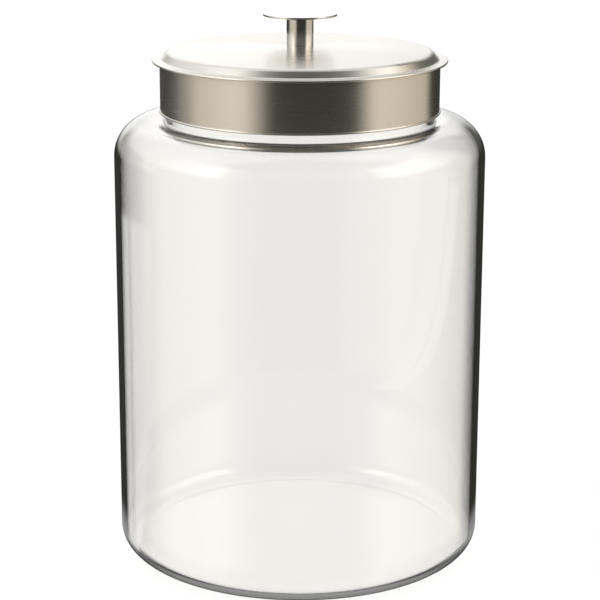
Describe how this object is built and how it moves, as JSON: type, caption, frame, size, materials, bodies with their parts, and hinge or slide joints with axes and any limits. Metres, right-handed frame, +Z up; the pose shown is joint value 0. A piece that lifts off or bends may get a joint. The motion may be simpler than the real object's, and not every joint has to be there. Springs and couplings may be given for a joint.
{
  "type": "storage jar",
  "caption": "Clear glass storage jar with rounded shoulder and short neck, under a loose metal lid with a skirt, flange, low dome and disc knob.",
  "frame": {"origin": "middle of the jar's underside, on the surface it stands on", "axes": "+Z up the axis that the jar, lid and knob share; the object is round, so X and Y are free"},
  "size_m": [0.23, 0.23, 0.3419],
  "materials": {
    "clear_glass": "clear, fire-polished",
    "lid_metal": "satin, brushed round the axis",
    "knob_metal": "polished"
  },
  "bodies": {
    "root": {"glass_jar": "clear_glass", "lid_cap": "lid_metal", "knob": "knob_metal"}
  },
  "joints": []
}
